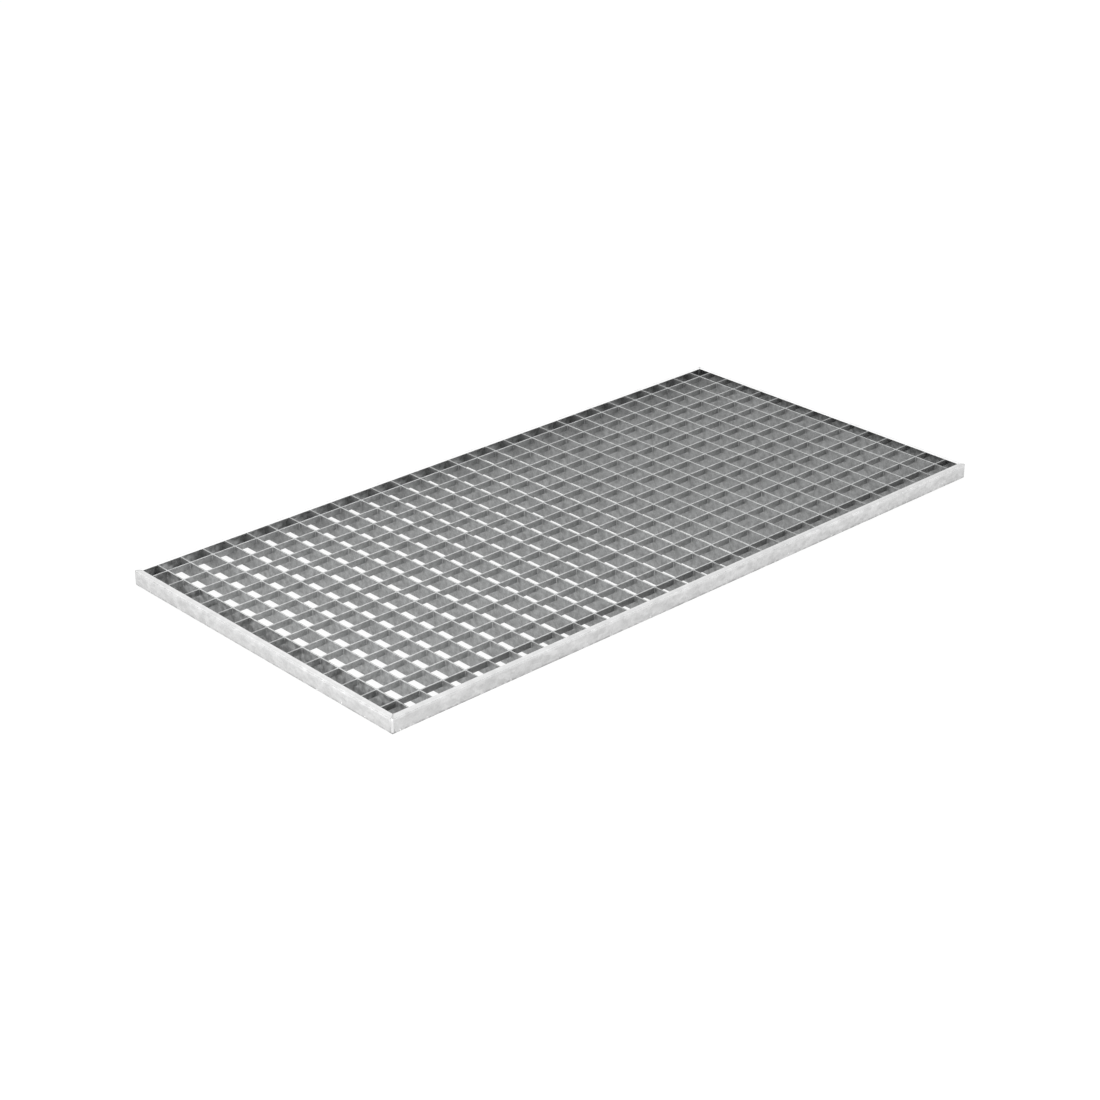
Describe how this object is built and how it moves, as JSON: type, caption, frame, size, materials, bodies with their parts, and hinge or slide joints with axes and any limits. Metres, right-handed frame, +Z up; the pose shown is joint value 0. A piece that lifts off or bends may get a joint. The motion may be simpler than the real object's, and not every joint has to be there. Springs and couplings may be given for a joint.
{
  "type": "steel grating panel",
  "caption": "Flat walk-on panel of galvanised steel: upright bearing bars crossed by shallow pressed-in bars, framed by a mitred edge channel and laid loose in a rebate.",
  "frame": {"origin": "centre of the underside's outline, on the plane that the panel rests on", "axes": "+X along the panel's length, across the bearing bars; +Y along its width and the bearing bars; +Z up, out of the walking face"},
  "size_m": [0.99, 0.49, 0.02],
  "materials": {
    "galvanised_channel": "hot-dip galvanised, pale, faintly spangled",
    "galvanised_bars": "hot-dip galvanised, matt grey"
  },
  "bodies": {
    "root": {"edge_channel_front": "galvanised_channel", "edge_channel_back": "galvanised_channel", "edge_channel_left": "galvanised_channel", "edge_channel_right": "galvanised_channel", "mesh_bay_left": "galvanised_bars", "mesh_bay_middle": "galvanised_bars", "mesh_bay_right": "galvanised_bars"}
  },
  "joints": []
}
